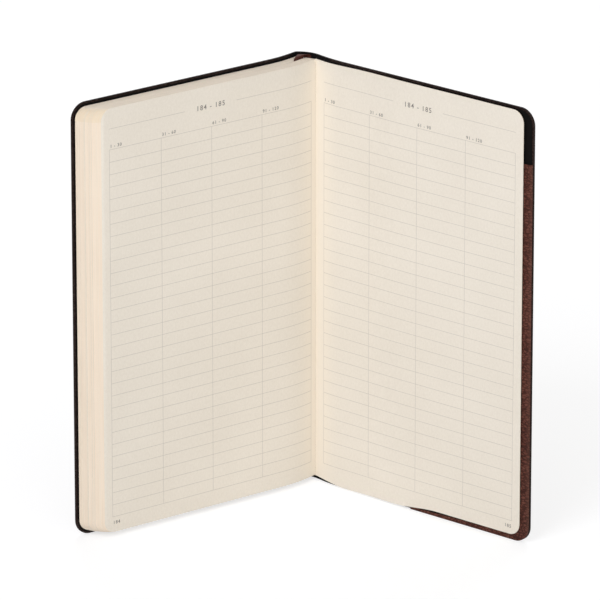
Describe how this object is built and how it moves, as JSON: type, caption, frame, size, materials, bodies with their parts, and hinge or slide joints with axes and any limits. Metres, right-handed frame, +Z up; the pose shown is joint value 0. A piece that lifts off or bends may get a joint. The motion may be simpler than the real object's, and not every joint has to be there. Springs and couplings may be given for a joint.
{
  "type": "lined soft cover notebook",
  "caption": "Soft cover notebook standing open in a V, with sewn leaves, a ribbon bookmark, black endpapers and a corner pocket inside the back cover.",
  "frame": {"origin": "on the surface the notebook stands on, under the middle of its bounding box", "axes": "+Z up along the spine, +X from the front half to the back half, -Y towards the reader in front of the open spread"},
  "size_m": [0.2146, 0.092, 0.214],
  "materials": {
    "cover_leather": "fine-grained dark brown synthetic leather, satin",
    "black_paper": "black uncoated paper",
    "page_paper": "cream uncoated paper",
    "ribbon": "dark brown woven satin ribbon",
    "thread": "off-white waxed thread",
    "lining": "off-white crepe spine lining"
  },
  "bodies": {
    "text_block": {"section_01": "page_paper", "section_02": "page_paper", "section_03": "page_paper", "section_04": "page_paper", "section_05": "page_paper", "section_06": "page_paper", "section_07": "page_paper", "section_08": "page_paper", "section_09": "page_paper", "section_10": "page_paper", "section_11": "page_paper", "section_12_front": "page_paper", "section_12_fold": "page_paper", "spine_skin": "cover_leather", "spine_lining": "lining", "sewing_thread_1": "thread", "sewing_thread_2": "thread", "sewing_thread_3": "thread", "sewing_thread_4": "thread", "sewing_thread_5": "thread", "ribbon_bookmark": "ribbon"},
    "front_cover": {"front_cover_skin": "cover_leather", "front_pastedown": "black_paper"},
    "front_flyleaf": {"front_flyleaf": "black_paper"},
    "left_leaf": {"left_leaf": "page_paper"},
    "back_cover": {"back_cover_skin": "cover_leather", "back_pastedown": "black_paper", "corner_pocket": "cover_leather"},
    "back_flyleaf": {"back_flyleaf": "black_paper"},
    "back_section": {"section_12_back": "page_paper"},
    "right_leaf": {"right_leaf": "page_paper"}
  },
  "joints": [
    {"name": "front_cover_hinge", "type": "hinge", "parent": "text_block", "child": "front_cover", "pos_m": [-0.00353, 0.04595, 0], "axis": [0, 0, -1], "range_deg": [0, 165]},
    {"name": "front_flyleaf_hinge", "type": "hinge", "parent": "text_block", "child": "front_flyleaf", "pos_m": [-0.00314, 0.04462, 0], "axis": [0, 0, -1], "range_deg": [0, 82.5]},
    {"name": "left_leaf_hinge", "type": "hinge", "parent": "text_block", "child": "left_leaf", "pos_m": [0.00611, 0.04041, 0], "axis": [0, 0, 1], "range_deg": [0, 60]},
    {"name": "back_cover_hinge", "type": "hinge", "parent": "text_block", "child": "back_cover", "pos_m": [0.006, 0.03645, 0], "axis": [0, 0, 1], "range_deg": [-103, 76.9]},
    {"name": "back_section_hinge", "type": "hinge", "parent": "back_cover", "child": "back_section", "pos_m": [0.01183, 0.03399, 0], "axis": [0, 0, -1], "range_deg": [0, 40]},
    {"name": "back_flyleaf_hinge", "type": "hinge", "parent": "back_cover", "child": "back_flyleaf", "pos_m": [0.01216, 0.03431, 0], "axis": [0, 0, -1], "range_deg": [0, 20]},
    {"name": "right_leaf_hinge", "type": "hinge", "parent": "back_section", "child": "right_leaf", "pos_m": [0.01183, 0.03399, 0], "axis": [0, 0, -1], "range_deg": [0, 35]}
  ],
  "couplings": [
    {"joint": "front_flyleaf_hinge", "follows": "front_cover_hinge", "ratio": 0.5},
    {"joint": "back_flyleaf_hinge", "follows": "back_section_hinge", "ratio": 0.5}
  ]
}
